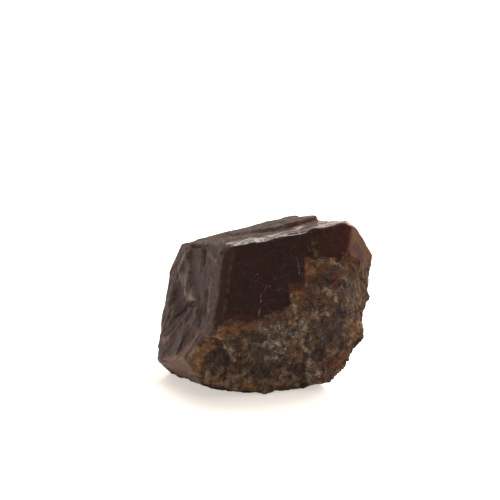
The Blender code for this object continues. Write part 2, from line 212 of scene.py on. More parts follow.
# the lowest of the tilted bowls that stand on scattered sites: hollows that meet in ridges
def scoopedNoise(points, size, seed, bow=0.9, tilt=0.7, spread=0.5):
    cell = np.floor(points / size).astype(np.int64)
    lowest = np.full(len(points), 9.0)
    for offset in cellOffsets:
        near = cell + offset
        draws = [scattered(near, seed + k) for k in range(7)]
        away = points / size - near - np.stack(draws[:3], axis=-1)
        lean = np.stack(draws[3:6], axis=-1) - 0.5
        height = bow * (away**2).sum(-1) + tilt * (away * lean).sum(-1) + spread * (draws[6] - 0.5)
        lowest = np.minimum(lowest, height)
    return lowest - 0.35


# distance from a chain of straight runs: the least of those to the nearest point of each run; and the
# same with its sign from the cross product with that run, above 0 on the right
def nearestRun(flat, points):
    best, right = np.full(len(flat), 1e9), np.zeros(len(flat))
    for start, end in zip(points[:-1], points[1:]):
        run, away = np.subtract(end, start), flat - start
        along = np.clip(away @ run / max(run @ run, 1e-9), 0, 1)
        distance = np.linalg.norm(away - along[:, None] * run, axis=1)
        cross = run[0] * away[:, 1] - run[1] * away[:, 0]
        right = np.where(distance < best, -np.sign(cross) * distance, right)
        best = np.minimum(best, distance)
    return best, right


# distance from a closed outline, above 0 where a line sideways crosses it an odd number of times
def areaDistance(flat, outline):
    closed = list(outline) + [outline[0]]
    inside = np.zeros(len(flat), dtype=bool)
    for (ax, ay), (bx, by) in zip(closed[:-1], closed[1:]):
        if ay != by:
            crosses = (ay > flat[:, 1]) != (by > flat[:, 1])
            inside ^= crosses & (flat[:, 0] < (bx - ax) * (flat[:, 1] - ay) / (by - ay) + ax)
    distance, _ = nearestRun(flat, closed)
    return np.where(inside, distance, -distance)


# the point that lies on three planes at once
def cornerPoint(planes, faces):
    normals = np.array([planes[face][0] for face in faces])
    return np.linalg.solve(normals, np.array([planes[face][1] for face in faces]))


# outward direction and distance of every side; a corner cut leans between its faces by their shares
def buildPlanes(spec, turn):
    planes = {name: (unit(turn @ np.array(way)), far)
              for name, (way, far) in spec["growthFaces"].items()}
    planes.update({name: (unit(way), far) for name, (way, far) in spec["brokenFaces"].items()})
    for name, (faces, shares, depth) in spec["cornerCuts"].items():
        normal = unit(sum(planes[face][0] * share for face, share in zip(faces, shares)))
        planes[name] = (normal, normal @ cornerPoint(planes, faces) - depth)
    return planes


latticeTurn = np.array(Euler([math.radians(a) for a in garnet["latticeTurn"]], "XYZ").to_matrix())
planes = buildPlanes(garnet, latticeTurn)
sides = list(planes)
normals = np.array([planes[name][0] for name in sides])
distances = np.array([planes[name][1] for name in sides])
edgeWays = unit(np.array(latticeEdges) @ latticeTurn.T)
centre = np.array(garnet["centre"])


# the two coordinates of points along a side's own axes
def onPlane(points, side):
    edge, cornerFaces = planeAxes[side]
    first = edgeWays[edge]
    second = np.cross(planes[side][0], first)
    away = points - cornerPoint(planes, cornerFaces)
    return np.stack([away @ first, away @ second], axis=-1)


# a height cut into treads of one step, each with a short riser
def terraces(height, step, riser):
    level = np.floor(height / step)
    return step * (level + ease(1 - riser, 1, height / step - level))


# places in a plane: along a direction over a length, and across it over a width
def stretched(flat, way, length, width):
    way = np.array(way)
    along, across = flat @ way / length, flat @ (way[::-1] * (1, -1)) / width
    return np.stack([along, across, np.zeros(len(flat))], axis=-1)


# layered noise in a plane, drawn out along a direction
def stretchedNoise(flat, way, length, width, seed):
    return layeredNoise(stretched(flat, way, length, width), 1, 2, seed)


# height of each side above its plane near the points, and how broken it is there, from 0 to 1
def relief(points, fine):
    broad = layeredNoise(points, 6, 2, 11)
    middle = layeredNoise(points, 2.2, 2, 21)
    chips = scoopedNoise(points, 4.2, 41)
    smallChips = scoopedNoise(points, 1.7, 51)
    rough = 0.55 * broad + 0.85 * chips + 0.45 * smallChips
    weathered = 0.1 * broad + 0.05 * middle
    if fine:
        grain = fineRelief["grainHeight"] * layeredNoise(points, fineRelief["grainSize"], 2, 66)
        rough += fineRelief["scoopHeight"] * scoopedNoise(points, fineRelief["scoopSize"], 61) + grain
        weathered += 0.35 * grain
    wobble = np.stack([0.35 * middle, 0.35 * broad], axis=-1)

    torn = {name: name in garnet["brokenFaces"] for name in sides}
    height = {name: (rough if torn[name] else weathered) * garnet["calmer"].get(name, 1) for name in sides}
    height.update({name: np.zeros(len(points)) for name in ("front", "frontStrip")})
    broken = {name: np.full(len(points), float(torn[name])) for name in sides}
    flat = {name: onPlane(points, name) for name in planeAxes}
    addGrowthSteps(height, points)
    addTop(height, flat["top"], 0.3 * middle + 0.8 * broad)
    addLeft(height, flat["left"], wobble)
    waver = 0.3 * middle
    if fine:
        height["left"] += leftGrain(flat["left"], wobble)
        bent = flat["left"] + 0.5 * wobble + 0.12 * layeredNoise(points, 0.8, 2, 143)[:, None]
        height["left"] += sum(scarp(bent, line, rise, width) for *line, rise, width in leftScarps)
        height["top"] += topLedges(flat["top"], wobble) + topGrain(points)
        waver = waver + 0.3 * layeredNoise(points, 0.9, 2, 141)
    addBrokenZones(height, broken, flat, rough, waver)
    addFeatures(height, flat, wobble)

    # each knob is a bell: its height times e to the minus squared distance over squared radius
    places, sizes, rises = [np.array(part) for part in zip(*knobs.values())]
    away = (points[:, None] + centre - places) / knobStretch
    bells = (rises * np.exp(-(away**2).sum(-1) / sizes**2)).sum(1)
    heights = np.stack([height[name] for name in sides], axis=1) + bells[:, None]
    return heights, np.stack([broken[name] for name in sides], axis=1)


# low steps and fine striations on the faces at the back, each drawn out along an edge of its face
def addGrowthSteps(height, points):
    for k, (name, edge) in enumerate(growthEdges.items()):
        along = points @ edgeWays[edge]
        across = points @ np.cross(planes[name][0], edgeWays[edge])
        flat = np.stack([along, across + 0.25 * layeredNoise(points, 3, 2, 81)], axis=-1)
        steps = terraces(0.42 * stretchedNoise(flat, (1, 0), 9, 2.4, 71 + k), 0.12, 0.55)
        height[name] += steps + 0.05 * stretchedNoise(flat, (1, 0), 5, 0.5, 76 + k)


# terraces along the front edge of the top, and a raised plateau with a steep end
def addTop(height, flat, waver):
    near = ease(7.5, 3, flat[:, 1])
    steps = terraces((0.3 + 0.1 * near) * stretchedNoise(flat, (1, 0), 8, 1.25, 91), 0.12, 0.45)
    quiet = ease(8.5, 11, flat[:, 0] - 0.55 * (flat[:, 1] - 7))
    inside = areaDistance(flat, outlines["plateau"]) + waver
    soft = 1.2 * ease(8, 2, flat[:, 0])
    rise = 0.15 + 0.3 * ease(-3, 5, flat[:, 0]) + 0.3 * ease(5, 11, flat[:, 0])
    plateau = rise * ease(-0.3, 0.15, inside / (1 + soft)) + 0.28 * ease(-3.5, 0.5, inside)
    height["top"] += steps * (1 - 0.85 * quiet) + plateau


# thin ledges that face forward along the top's front edge: each sinks towards the edge over its width
def topLedges(flat, wobble):
    total = 0
    for start, end, back, drop, width, seed in topLips:
        shift = 0.35 * layeredNoise(flat[:, :1] / (1.6, np.inf, np.inf), 1, 3, seed)
        span = ease(start, start + 1.5, flat[:, 0]) * ease(end, end - 1.5, flat[:, 0])
        ahead = np.clip((back + width - flat[:, 1] - shift - 0.3 * wobble[:, 0]) / width, 0, 1)
        total = total - drop * span * ahead
    fine = terraces(0.2 * stretchedNoise(flat + 0.4 * wobble, (1, 0), 3.4, 0.6, 361), 0.09, 0.4)
    return total + fine * ease(5, 3, flat[:, 1]) * ease(13, 11, flat[:, 0])


# slanting striations low on the left, its rounded far edge, and a plate that juts out
def addLeft(height, flat, wobble):
    lower = ease(8.5, 11.5, flat[:, 1] + 0.15 * flat[:, 0])
    striations = stretchedNoise(flat + wobble, striationWay, 6, 0.9, 101)
    beyond = ease(12.6, 15.5, flat[:, 0] - 0.12 * flat[:, 1])
    plate = ease(-0.15, 0.15, areaDistance(flat + 0.3 * wobble, outlines["wedge"]))
    slope = ease(-1, 3.2, (flat - wedgeFoot) @ (0.55, 0.83))
    height["left"] += 0.16 * lower * striations - 0.25 * beyond + 0.55 * plate * slope


# a one-sided ridge: its rise at the line, a bell of the distance on the right, and 0 on the left
def scarp(flat, points, rise, width):
    distance, right = nearestRun(flat, points)
    return rise * np.exp(-((distance / width) ** 2)) * ease(-0.08, 0.1, right)


# scoops drawn out along the striations of the left side, faint on its calm part
def leftGrain(flat, wobble):
    calm = ease(-0.5, 0.5, areaDistance(flat + wobble, outlines["calmLeft"]))
    layers = sum(rise * scoopedNoise(stretched(flat, striationWay, length, 1), size, seed)
                 for size, length, rise, seed in leftScoops)
    return layers * (1 - 0.85 * calm)


# small scoops and grain on the top's rear
def topGrain(points):
    scoops = 0.14 * scoopedNoise(points, 2.6, 152) + 0.13 * scoopedNoise(points, 1.3, 151)
    return (scoops + 0.06 * layeredNoise(points, 0.6, 2, 161)) * weatheredTop(points)


# the break that runs from the lower front up over the front face and the right side
def addBrokenZones(height, broken, flat, rough, waver):
    inside = areaDistance(flat["front"], outlines["frontBreak"]) + waver
    zone = ease(-0.05, 0.35, inside)
    shelf = ease(9, 11.5, flat["front"][:, 0])
    lip = 0.03 * shelf * ease(3.5, 0, inside) - 0.18 * (1 - shelf) * ease(0, 1, inside)
    far = ease(-6, -9, flat["front"][:, 1])
    share = 0.3 + (0.15 + 0.25 * far) * ease(0.5, 5, inside)
    height["front"] += zone * (lip + share * rough)
    broken["front"] = zone

    zone = ease(0.25, -0.15, areaDistance(flat["upperRight"], outlines["rightFacet"]) + waver)
    height["upperRight"] = height["upperRight"] * (1 - zone) + zone * (0.9 * rough - 0.1)
    broken["upperRight"] = zone


# every named area, groove and ridge on its side; a groove is a bell across its line
def addFeatures(height, flat, wobble):
    for side, *outline, rise, inner, outer in areas.values():
        inside = areaDistance(flat[side] + wobble, outline)
        height[side] += rise * ease(-outer, inner, inside)
    for side, *points, rise, halfWidth in lines.values():
        away = nearestRun(flat[side] + wobble, points)[0] / halfWidth
        height[side] += rise * np.exp(-(away**2))


# 1 / distance along each ray to each side: direction times normal over the side's distance
def sideCloseness(rays, heights):
    return (rays @ normals.T) / (distances + heights)


# rays that pass within reach of an edge move onto it, unless both of its sides are broken
def pullToEdges(rays, closeness, heights, broken, reach):
    rows = np.arange(len(rays))
    first, second = np.argsort(-closeness, axis=1)[:, :2].T
    gap = closeness[rows, first] - closeness[rows, second]
    crumbled = broken[rows, first] * broken[rows, second] > 0.5
    perSide = normals[None] / (distances + heights)[:, :, None]
    slope = perSide[rows, first] - perSide[rows, second]
    slope -= (slope * rays).sum(1, keepdims=True) * rays
    steepness = np.linalg.norm(slope, axis=1) + 1e-9
    moved = unit(rays - (gap / steepness**2)[:, None] * slope)
    near = (gap / steepness < reach) & ~crumbled
    return np.where(near[:, None], moved, rays)


# the least of the distances to the sides, less (overlap of a rounded edge)^2 times its width / 4
def wornDistance(points, closeness, broken):
    wear = garnet["edgeWear"] * (1 + layeredNoise(points, 3, 2, 111))
    wear += garnet["edgeChips"] * ease(0.25, 0.8, layeredNoise(points, 1.6, 2, 121))
    crumble = garnet["crumble"] + 0.8 * layeredNoise(points, 4, 2, 131)
    rows = np.arange(len(points))
    nearest = np.argsort(-closeness, axis=1)[:, :3].T
    reach = 1 / closeness[rows, nearest[0]]
    for side in nearest[1:]:
        other = 1 / np.maximum(closeness[rows, side], 1e-3)
        both = broken[rows, nearest[0]] * broken[rows, side]
        width = np.maximum(wear, 0.02) + both * crumble
        overlap = np.maximum(width - np.abs(other - reach), 0) / width
        reach = np.minimum(other, reach) - overlap**2 * width / 4
    return reach


# the quads of a square grid, as the numbers of their corners
def gridQuads(cells):
    step = np.arange(cells)
    first = (step[:, None] * (cells + 1) + step).ravel()
    return np.stack([first, first + cells + 1, first + cells + 2, first + 1], axis=1)


# two parameters over each face of a cube from -1 to 1, as a grid, with the shared edges merged
def cubeGrid(cells):
    u, v = [part.ravel() for part in np.meshgrid(*2 * [np.linspace(-1, 1, cells + 1)], indexing="ij")]
    one = np.ones(u.size)
    corners = np.concatenate([np.stack(face, axis=1) for face in (
        (one, u, v), (-one, v, u), (v, one, u), (u, -one, v), (u, v, one), (v, u, -one))])
    quads = np.concatenate([gridQuads(cells) + k * u.size for k in range(6)])
    _, keep, merged = np.unique(np.round(corners * cells * 4).astype(np.int64), axis=0,
                                return_index=True, return_inverse=True)
    return corners[keep], merged.ravel()[quads]


# distance along each ray from the centre to the nearest side, found again as the relief changes
def crystalSurface(cube):
    rays = unit(np.tan(cube * math.pi / 4))
    cell = math.pi / 2 / garnet["cells"]
    reach = 1 / sideCloseness(rays, np.zeros(len(sides))).max(1)
    for step in range(garnet["passes"] - 1):
        heights, broken = relief(rays * reach[:, None], step > 0)
        rays = pullToEdges(rays, sideCloseness(rays, heights), heights, broken, 0.5 * cell)
        reach = 1 / sideCloseness(rays, heights).max(1)
    points = rays * reach[:, None]
    heights, broken = relief(points, True)
    closeness = sideCloseness(rays, heights)
    reach = wornDistance(points, closeness, broken)
    toGround = np.where(rays[:, 2] < 0, -centre[2] / np.minimum(rays[:, 2], -1e-6), np.inf)
    points = rays * np.minimum(reach, toGround)[:, None] + centre
    return points, closeness, broken


# Stains on a plane that leans back by 16 degrees. Each colour has how ragged its edges are, soft lines
# (points, half width, strength) and outlined patches (points, softness of the edge, strength). The points
# are in tenths of a mm: x, and height up the plane. A later colour lies over an earlier one.
stainLean = math.radians(16)
stains = {
    # deep red where light comes through the crystal near its edges: a painted glow
    "rubyGlow": (0.2, [
        ((123, 220), (124, 195), (124, 174), 0.42, 0.72), ((86, 215), (104, 219), (121, 221), 0.45, 0.55),
        ((-48, 186), (-44, 90), 1.5, 0.24), ((-56, 84), (-10, 82), (20, 90), 0.8, 0.38),
    ], [
        ((82, 216), (124, 223), (126, 171), (80, 170), 0.5, 0.36),
    ]),
    "sienna": (1, [], [
        ((57, 174), (116, 172), (144, 166), (148, 120), (138, 116), (116, 146), (86, 126),
         (56, 134), 0.7, 0.62), ((34, 134), (60, 136), (74, 110), (56, 92), (46, 99), 0.6, 0.45),
        ((126, 110), (146, 102), (138, 60), (126, 70), 0.5, 0.35),
        ((64, 126), (116, 124), (120, 96), (68, 94), 0.7, 0.3),
    ]),
    "earth": (1.6, [], [
        ((-52, 4), (-20, 8), (52, 6), (56, -26), (0, -34), (-54, -29), 0.5, 0.5),
        ((-108, 16), (-80, 6), (-50, 4), (-52, -29), (-112, -18), 0.4, 0.5),
        ((96, 34), (126, 42), (119, 16), (102, 2), 0.4, 0.5),
        ((124, 62), (144, 80), (142, 46), (128, 42), 0.4, 0.4),
    ]),
    "rust": (1, [
        ((-114, 29), (-112, 17), (-106, 8), 0.38, 1.3), ((-108, 26), (-101, 38), (-92, 45), 0.35, 0.8),
        ((-82, 49), (-72, 52), 0.3, 0.6),
    ], [
        ((-65, 78), (-20, 78), (-6, 73), (-23, 64), (-63, 59), 0.45, 0.6),
        ((59, 172), (72, 170), (74, 149), (59, 145), 0.3, 0.7),
        ((116, 170), (142, 162), (140, 152), (116, 156), 0.4, 0.45),
        ((34, 132), (54, 135), (64, 116), (50, 98), (36, 106), 0.4, 0.45),
        ((-4, -14), (34, -13), (56, -22), (12, -29), 0.4, 0.55),
        ((94, 26), (114, 36), (134, 48), (120, 14), (92, -11), (80, -6), (100, 10), 0.5, 0.55),
    ]),
    "ochre": (1.2, [
        ((61, 158), (72, 154), 0.6, 0.5), ((77, 165), (108, 166), 0.35, 0.5),
        ((87, 125), (102, 123), 0.45, 0.5), ((83, 114), (88, 101), 0.4, 0.45),
        ((136, 140), (139, 90), 0.6, 0.4), ((134, 210), (141, 190), (148, 163), 0.6, 0.3),
        ((-86, 2), (-60, -7), 0.5, 0.5), ((20, -23), (55, -20), (94, -9), 0.35, 0.55),
    ], [
        ((-111, 30), (-100, 43), (-85, 50), (-69, 45), (-84, 32), (-98, 29), 0.3, 0.9),
        ((-34, -10), (-14, -11), (-8, -26), (-26, -25), 0.4, 0.9),
        ((-106, 22), (-98, 34), (-89, 26), (-89, 10), (-72, 6), (-52, 6), (-46, -6), (-84, -8),
         (-103, 2), 0.5, 0.55), ((-94, 56), (-82, 64), (-66, 62), (-56, 54), (-74, 46), 0.5, 0.45),
        ((37, 112), (52, 129), (49, 97), (43, 71), (34, 75), 0.4, 0.4),
        ((123, 85), (143, 81), (141, 55), (127, 52), 0.4, 0.5),
        ((65, 204), (81, 202), (80, 174), (62, 174), 0.9, 0.27),
    ]),
    "blush": (1, [
        ((-133, 169), (-134, 140), 0.6, 0.28), ((-112, 154), (-110, 132), 0.35, 0.35),
        ((-136, 96), (-146, 74), 0.55, 0.35), ((-81, 176), (-73, 166), (-76, 154), 0.4, 0.45),
        ((-78, 140), (-81, 92), 0.45, 0.22), ((-148, 50), (-142, 53), 0.35, 0.8),
        ((83, 221), (119, 224), 0.5, 0.45), ((30, 30), (50, 28), 0.5, 0.5), ((28, 4), (36, 3), 0.4, 0.6),
        ((87, 127), (96, 117), 0.25, 0.8),
    ], [
        ((-108, 130), (-98, 109), (-113, 108), 0.15, 0.8),
        ((-88, 68), (-99, 50), (-111, 35), (-118, 23), (-148, 20), (-135, 31), (-117, 39), (-105, 56),
         (-96, 65), 0.3, 0.6),
        ((-114, 24), (-105, 6), (-106, -4), (-124, -3), (-148, 16), (-136, 24), 0.3, 1.2),
    ]),
    # pale lines along the ridges of the left side: painted highlights
    "ridgeHighlight": (1.2, [
        ((-113, 184), (-119, 175), (-124, 163), (-129, 152), 0.2, 0.75), ((-79, 179), (-73, 168), 0.22, 0.5),
        ((-79.5, 146), (-79.5, 118), (-82, 94), 0.1, 0.8), ((-132, 99), (-143, 80), 0.16, 0.5),
        ((-116, 80), (-126, 62), 0.14, 0.5), ((-104, 82), (-109, 68), 0.12, 0.5),
    ], []),
    "red": (1, [
        ((4, 80), (26, 85), (40, 98), 0.7, 0.3), ((61, 121), (81, 116), 0.7, 0.4),
        ((78, 13), (105, 22), 0.5, 0.45), ((98, 24), (113, 28), 0.3, 0.45),
        ((-49, 58), (-32, 57), 0.35, 0.3), ((139, 100), (137, 84), 0.35, 0.5),
        ((-106, 66), (-104, 60), 0.28, 1),
    ], [
        ((97, 153), (104, 150), (112, 151), (110, 133), (102, 136), (96, 132), 0.45, 0.62),
        ((32, 136), (50, 136), (40, 117), (32, 112), 0.5, 0.22),
    ]),
    "mauve": (0.5, [
        ((134, 188), (143, 178), (140, 170), 0.6, 0.8), ((32, 213), (52, 222), (89, 233), 0.42, 0.85),
    ], []),
    "grey": (0.6, [
        ((49, 172), (52, 147), 0.3, 0.35),
    ], [
        ((-108, 182), (-98, 185), (-93, 166), (-90, 147), (-80, 144), (-79, 125), (-84, 104), (-89, 85),
         (-95, 82), (-98, 109), (-108, 127), (-109, 154), 0.2, 0.6),
        ((-86, 194), (-54, 194), (-63, 179), (-76, 175), (-84, 184), 0.2, 0.5),
    ]),
    "plum": (1.5, [], [
        ((-26, 64), (-3, 65), (7, 55), (-3, 49), (-22, 52), 0.25, 0.8),
        ((-20, 45), (3, 42), (10, 33), (-6, 24), (-19, 28), 0.3, 0.6),
        ((-61, 45), (-48, 29), (-49, 12), (-67, 16), (-84, 20), (-75, 33), 0.2, 0.85),
        ((-18, 15), (12, 13), (10, -3), (-9, -6), (-20, 3), 0.3, 0.65),
        ((-12, 22), (35, 23), (32, 12), (-3, 12), 0.3, 0.45),
        ((47, 16), (58, 22), (63, 4), (50, -2), (39, 7), 0.25, 0.65),
        ((56, 65), (65, 62), (64, 41), (59, 46), 0.2, 0.6),
        ((66, 83), (95, 85), (119, 79), (113, 56), (90, 45), (75, 51), 0.4, 0.5),
        ((67, 38), (84, 41), (91, 26), (76, 17), (67, 26), 0.25, 0.8),
        ((99, 107), (111, 103), (121, 88), (113, 79), (104, 91), 0.3, 0.7),
        ((114, 139), (130, 140), (137, 121), (132, 112), (115, 121), 0.3, 0.6),
        ((-106, 86), (-129, 84), (-132, 104), (-122, 114), (-116, 102), 0.3, 0.45),
        ((-79, 59), (-68, 69), (-61, 80), (-69, 58), 0.2, 0.6),
    ]),
    # on the left side, painted shade: the shadow under the jutting plate and the shade in its slot and
    # hollow; on the break, dark spots of its own
    "dark": (0.9, [
        ((-112, 102), (-118, 96), (-129, 87), 0.3, 0.8), ((-106, 101), (-113, 104), 0.2, 1),
        ((-133, 121), (-137, 103), 0.4, 0.5), ((-119, 56), (-126, 34), 0.22, 0.7),
        ((-93, 96), (-95, 70), 0.2, 0.6), ((-110, 152), (-109, 132), 0.16, 0.7),
    ], [
        ((85, 150), (97, 147), (98, 133), (88, 136), 0.3, 0.62),
        ((95, 162), (112, 161), (108, 152), (96, 151), 0.3, 0.62),
        ((54, 169), (59, 166), (58, 124), (53, 132), 0.2, 0.5),
    ]),
    "pale": (1.4, [
        ((56, 81), (61, 71), (56, 60), (57, 49), (64, 34), 0.34, 0.62), ((66, 24), (65, -6), 0.24, 0.85),
        ((-58, 46), (-49, 35), (-44, 24), 0.34, 0.6), ((101, 132), (103, 109), 0.22, 0.45),
        ((102, 167), (114, 158), 0.18, 0.4), ((72, 106), (78, 83), 0.16, 0.5),
        ((39, 116), (46, 96), (42, 76), 0.25, 0.5), ((-109, 6), (-96, 1), (-82, 6), 0.35, 0.6),
        ((-100, -11), (-86, -15), (-71, -19), (-53, -22), 0.3, 0.6), ((89, 98), (92, 87), 0.16, 0.55),
    ], []),
    "frost": (None, [
        ((2, 68), (22, 70), (44, 64), 0.65, 1.2), ((-3, 49), (9, 46), (27, 47), 0.8, 1.2),
        ((0, 31), (12, 25), (28, 29), 0.6, 1.6), ((66, 24), (65, -4), (80, 1), 0.45, 1.7),
        ((52, 79), (60, 40), 0.5, 0.7), ((70, 82), (82, 60), 0.5, 0.6), ((90, 128), (100, 116), 0.5, 0.5),
    ], []),
}


# Scratches and cracks in the same plane, all in mm: points, width, strength.
marks = {
    "scratch": [
        ((-0.4, 12.1), (-0.55, 10.6), (-0.8, 8.9), 0.07, 0.55),
        ((-1.4, 14.5), (-1, 14.9), (-0.45, 14.8), (-0.3, 14.4), 0.07, 0.3),
        ((-1.3, 13.9), (-0.7, 14.3), (-0.3, 14.1), 0.06, 0.26),
        ((0, 12.5), (0.35, 13.1), (0.8, 13.2), (1, 12.8), 0.06, 0.32),
        ((1.6, 14.2), (3.3, 14.3), 0.05, 0.22), ((4.9, 16.7), (5.15, 14.6), 0.07, 0.4),
        ((6.7, 6.5), (6.8, 4.5), (7.55, 3.6), 0.06, 0.6), ((8.6, 5.6), (8.5, 4.2), (9.3, 4.1), 0.06, 0.45),
        ((-7, 17.2), (-7.2, 16.2), 0.07, 0.45), ((0.3, 9.9), (1.2, 9.5), (2.2, 9.7), 0.05, 0.28),
    ],
    "pale": [
        ((-5.9, 20), (-6.1, 18.9), (-6.6, 18.1), 0.08, 0.55),
    ],
    "dark": [
        ((-5.1, 20), (-5.7, 19.4), (-6, 18.8), 0.17, 0.9),
    ],
    "tan": [
        ((7.6, 17.35), (9.4, 17.25), (10.6, 17), 0.09, 0.6),
        ((7.9, 7.6), (8.3, 6), (8.9, 5.1), 0.06, 0.6), ((-9.6, 6.6), (-7.9, 7.1), (-6.6, 6.6), 0.07, 0.45),
    ],
}


# each soft line is a bell across it, each patch 1 inside its outline; the stronger counts
def stainMasks(points, shown, wobble):
    flat = np.stack([points[:, 0], points[:, 1] * math.sin(stainLean)
                     + points[:, 2] * math.cos(stainLean)], axis=1) + wobble
    masks = {}
    for name, (_, softLines, outlined) in stains.items():
        best = np.zeros(len(points))
        for *line, halfWidth, strength in softLines:
            away = nearestRun(flat, np.array(line) / 10)[0] / halfWidth
            best = np.maximum(best, strength * np.exp(-(away**2) * 0.7))
        for *outline, soft, strength in outlined:
            inside = areaDistance(flat, np.array(outline) / 10)
            best = np.maximum(best, strength * ease(-soft, soft, inside))
        masks[name] = best * shown
    return masks


# growth faces that are weathered to a satin
weatheredSides = ("left", "topChip", "leftCorner", *growthEdges)


# 1 on some of the sides and 0 off them: an eased step in the closest of those less the closest other
def onSides(closeness, names):
    chosen = [sides.index(name) for name in names]
    rest = [k for k in range(len(sides)) if k not in chosen]
    return ease(-0.002, 0.002, closeness[:, chosen].max(1) - closeness[:, rest].max(1))


# a bell of the gap between the two nearest sides, left out where both are broken
def edgeNearness(closeness, broken, width=0.13):
    rows = np.arange(len(closeness))
    first, second = np.argsort(-closeness, axis=1)[:, :2].T
    gap = 1 / closeness[rows, second] - 1 / closeness[rows, first]
    return np.exp(-(gap / width) ** 2) * (1 - broken[rows, first] * broken[rows, second])


# the plateau's steep end: a band along its outline
def plateauRiser(points):
    flat = onPlane(points, "top")
    waver = 0.3 * layeredNoise(points, 2.2, 2, 21) + 0.8 * layeredNoise(points, 6, 2, 11)
    away = areaDistance(flat, outlines["plateau"]) + waver
    return ease(-0.75, -0.45, away) * ease(0.7, 0.4, away) * ease(7, 9, flat[:, 0])


# the top's rougher rear: all but a band along its front edge and its smooth right end
def weatheredTop(points):
    flat = onPlane(points, "top")
    ragged = 1.2 * layeredNoise(points, 1.8, 3, 171)
    band = ease(1.6, 2.4, flat[:, 1] + ragged - 0.25 * np.clip(flat[:, 0], 0, 10))
    return band * ease(12.5, 11.5, flat[:, 0] - 0.5 * (flat[:, 1] - 7) + ragged)


# an object at the origin that holds a mesh, a light or a camera
def newObject(name, data):
    made = bpy.data.objects.new(name, data)
    bpy.context.scene.collection.objects.link(made)
    return made


def buildCrystal():
    cube, quads = cubeGrid(garnet["cells"])
    points, closeness, broken = crystalSurface(cube)
    mesh = bpy.data.meshes.new(garnet["name"])
    mesh.from_pydata((points * mm).tolist(), [], quads.tolist())
    mesh.polygons.foreach_set("use_smooth", np.ones(len(mesh.polygons), dtype=bool))
    nearest = closeness.argmax(1)
    torn = broken[np.arange(len(points)), nearest]
    onTop, onRight, onLeft, onStrip = [onSides(closeness, (name,))
                                       for name in ("top", "upperRight", "left", "frontStrip")]
    onSide = onSides(closeness, weatheredSides)
    leaning = normals[nearest] @ (0, -math.cos(stainLean), math.sin(stainLean))
    facing = ease(0, 0.08, leaning)
    shown = np.maximum(ease(0.04, 0.24, leaning), onTop * facing)
    wobble = 0.3 * np.stack([layeredNoise(points, 1.1, 2, seed) for seed in (201, 211)], axis=1)
    masks = stainMasks(points, shown, wobble)
    away = points - centre
    # two scales of scoops summed, from about -0.5 in a hollow to 0.5 on a ridge: where the break is painted
    # darker as shade and lighter as highlight
    hollow = 0.6 * scoopedNoise(away, 1.7, 51) + 0.5 * scoopedNoise(away, fineRelief["scoopSize"], 61)
    onPlateau = np.maximum(weatheredTop(away), plateauRiser(away))
    matte = np.maximum.reduce([torn, onTop * onPlateau, 0.9 * onRight,
                               onLeft * ease(0.3, 0.7, masks["dark"])])
    masks.update(broken=torn, matte=matte, topFace=onTop, leftFace=onSide, strip=onStrip, rightFacet=onRight,
                 atBack=onSides(closeness, list(growthEdges)), hollow=hollow,
                 edge=edgeNearness(closeness, broken), facing=facing)
    for name, values in masks.items():  # a number for each vertex, for the material
        layer = mesh.attributes.new(name, "FLOAT", "POINT")
        layer.data.foreach_set("value", values.astype(np.float32))
    satin = np.maximum(onSide, onStrip)
    finish = np.where(matte[quads].max(1) > 0.25, 1, np.where(satin[quads].max(1) > 0.5, 2, 0))
    mesh.polygons.foreach_set("material_index", finish.astype(np.int32))
    mesh.update()
    print("crystal:", len(mesh.vertices), "vertices,", 2 * len(mesh.polygons), "triangles")
    return newObject(garnet["name"], mesh)


garnetFinish = {
    "clean": (0.0275, 0.0122, 0.01),  # growth faces
    "cleanDark": (0.0215, 0.0118, 0.0104),
    "haze": (0.052, 0.032, 0.026),
    "stripTint": (0.036, 0.0175, 0.0145),
    "leftTint": (0.059, 0.031, 0.025),  # the weathered sides
    "leftDark": (0.04, 0.023, 0.02),
    "leftWarm": (0.086, 0.045, 0.035),
    "facetTint": (0.094, 0.037, 0.016),
    "mauve": (0.058, 0.021, 0.014),
    "topTint": (0.072, 0.048, 0.038),
    "topRear": (0.104, 0.082, 0.07),  # the top behind its ledges
    "topRearDark": (0.062, 0.045, 0.036),
    "scratch": (0.3, 0.27, 0.28),
    # edge: worn edges, painted lighter as the highlight line that runs along them
    "edge": (0.23, 0.15, 0.115),  # worn edges
    "brown": (0.084, 0.046, 0.027),  # the break's mottling
    "umber": (0.05, 0.028, 0.018),
    "olive": (0.088, 0.06, 0.036),
    "rust": (0.092, 0.037, 0.018),
    "slate": (0.04, 0.028, 0.024),
    "tan": (0.19, 0.132, 0.088),
    # dark specks standing for the shade in small pits: painted shade
    "pitShade": (0.018, 0.013, 0.012),
    # pale specks of dust, partly painted glints
    "dustAndGlint": (0.34, 0.32, 0.29),
    "frostTint": (0.24, 0.22, 0.19),
    "blush": (0.155, 0.088, 0.063),
    # painted highlight on the left side's ridges
    "ridgeHighlight": (0.135, 0.096, 0.084),
    "red": (0.062, 0.016, 0.009),
    "ochre": (0.15, 0.08, 0.038),
    # painted glow of light through the crystal
    "rubyGlow": (0.062, 0.018, 0.011),
    "sienna": (0.046, 0.018, 0.007),
    "earth": (0.14, 0.09, 0.06),
    # painted shade on the left side; dark spots and lines elsewhere
    "dark": (0.03, 0.02, 0.017),
    "plum": (0.043, 0.028, 0.024),
    "pale": (0.175, 0.13, 0.085),
    "grey": (0.054, 0.037, 0.035),
    "roughClean": 0.16,
    "roughWorn": 0.42,
    "roughBroken": 0.6,
    "roughLedge": 0.2,
    "grain": 1,
    "bumpDepth": 0.26,  # mm
    "bumpStrength": 0.9,
    "faceShine": 0.5,
    "breakShine": 0.08,
    "sideShine": 0.14,
    "ior": 1.62,
}
# Inputs of the stone's surface, and where each is among the values above.
stoneInputs = {"Smooth Roughness": "roughClean", "Worn Roughness": "roughWorn",
               "Matte Roughness": "roughBroken", "Grain": "grain"}


